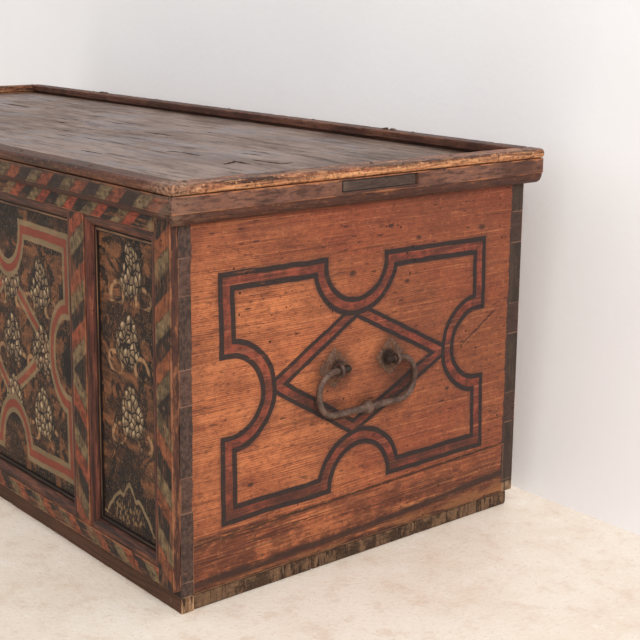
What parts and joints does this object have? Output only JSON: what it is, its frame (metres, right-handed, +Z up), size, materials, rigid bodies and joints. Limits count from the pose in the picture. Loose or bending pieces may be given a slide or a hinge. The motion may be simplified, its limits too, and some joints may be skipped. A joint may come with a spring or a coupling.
{
  "type": "storage chest",
  "caption": "Long painted board chest with dovetailed ends, a panelled and moulded front, a rimmed lid on staple hinges, drop handles on the ends and a lock with its key.",
  "frame": {"origin": "centre of the bounding box, at its bottom, on the floor", "axes": "+X along the chest to its right end, -Y towards the viewer of the front, +Z up"},
  "size_m": [1.5438, 0.673, 0.545],
  "materials": {
    "end_wood": "old varnished softwood with painted strapwork, worn satin",
    "front_wood": "dark painted softwood, worn matt",
    "back_wood": "bare darkened softwood, matt",
    "bottom_wood": "rough bare softwood, matt",
    "plinth_wood": "dark stained softwood, worn matt",
    "moulding_wood": "dark red painted moulding with a light fillet, worn satin",
    "frame_wood": "painted with slanting bands of red, black and tan, worn matt",
    "lid_wood": "grey-brown weathered planks, worn satin",
    "fascia_wood": "dark brown painted strip, worn matt",
    "rim_wood": "worn brown strip with bare edges, satin",
    "iron": "wrought iron, brown with rust, matt"
  },
  "bodies": {
    "carcase": {"back_board_lower": "back_wood", "back_board_upper": "back_wood", "bottom_board_back": "bottom_wood", "bottom_board_front": "bottom_wood", "bottom_board_middle": "bottom_wood", "bottom_nails": "iron", "corner_stile_left": "frame_wood", "corner_stile_right": "frame_wood", "end_board_lower_left": "end_wood", "end_board_lower_right": "end_wood", "end_board_upper_left": "end_wood", "end_board_upper_right": "end_wood", "escutcheon": "iron", "frame_bottom_rail": "frame_wood", "frame_nails": "iron", "frame_top_rail": "frame_wood", "front_board_lower": "front_wood", "front_board_upper": "front_wood", "handle_eyes_left": "iron", "handle_eyes_right": "iron", "handle_plates_left": "iron", "handle_plates_right": "iron", "hinge_eye_left": "iron", "hinge_eye_right": "iron", "lock_case": "iron", "lock_nails": "iron", "lock_plate": "iron", "panel_moulding_end_left": "moulding_wood", "panel_moulding_end_right": "moulding_wood", "panel_moulding_middle": "moulding_wood", "panel_moulding_wide_left": "moulding_wood", "panel_moulding_wide_right": "moulding_wood", "plinth_strip": "plinth_wood", "stile_inner_left": "frame_wood", "stile_inner_right": "frame_wood", "stile_outer_left": "frame_wood", "stile_outer_right": "frame_wood"},
    "lid": {"lid_batten_left": "lid_wood", "lid_batten_right": "lid_wood", "lid_catch": "iron", "lid_fascia_front": "fascia_wood", "lid_fascia_left": "fascia_wood", "lid_fascia_patch": "fascia_wood", "lid_fascia_right": "fascia_wood", "lid_nails": "iron", "lid_plank_back": "lid_wood", "lid_plank_front": "lid_wood", "lid_rail_back": "rim_wood", "lid_rim_front": "rim_wood", "lid_rim_left": "rim_wood", "lid_rim_right": "rim_wood", "hinge_loop_left": "iron", "hinge_loop_right": "iron"},
    "bail_right": {"handle_bail_right": "iron"},
    "bail_left": {"handle_bail_left": "iron"},
    "lock_bolt": {"lock_bolt": "iron"},
    "key": {"key": "iron"}
  },
  "joints": [
    {"name": "lid_hinge", "type": "hinge", "parent": "carcase", "child": "lid", "pos_m": [0, 0.3255, 0.495], "axis": [-1, 0, 0], "range_deg": [0, 100]},
    {"name": "bail_right_swing", "type": "hinge", "parent": "carcase", "child": "bail_right", "pos_m": [0.762, 0.0095, 0.275], "axis": [0, -1, 0], "range_deg": [0, 180]},
    {"name": "bail_left_swing", "type": "hinge", "parent": "carcase", "child": "bail_left", "pos_m": [-0.762, 0.0095, 0.275], "axis": [0, 1, 0], "range_deg": [0, 180]},
    {"name": "key_turn", "type": "hinge", "parent": "carcase", "child": "key", "pos_m": [0, -0.2835, 0.433], "axis": [0, 1, 0], "range_deg": [0, 90]},
    {"name": "bolt_slide", "type": "slide", "parent": "carcase", "child": "lock_bolt", "axis": [1, 0, 0], "range_m": [0, 0.015]}
  ],
  "couplings": [
    {"joint": "bolt_slide", "follows": "key_turn", "m_per_rad": 0.0095492}
  ]
}
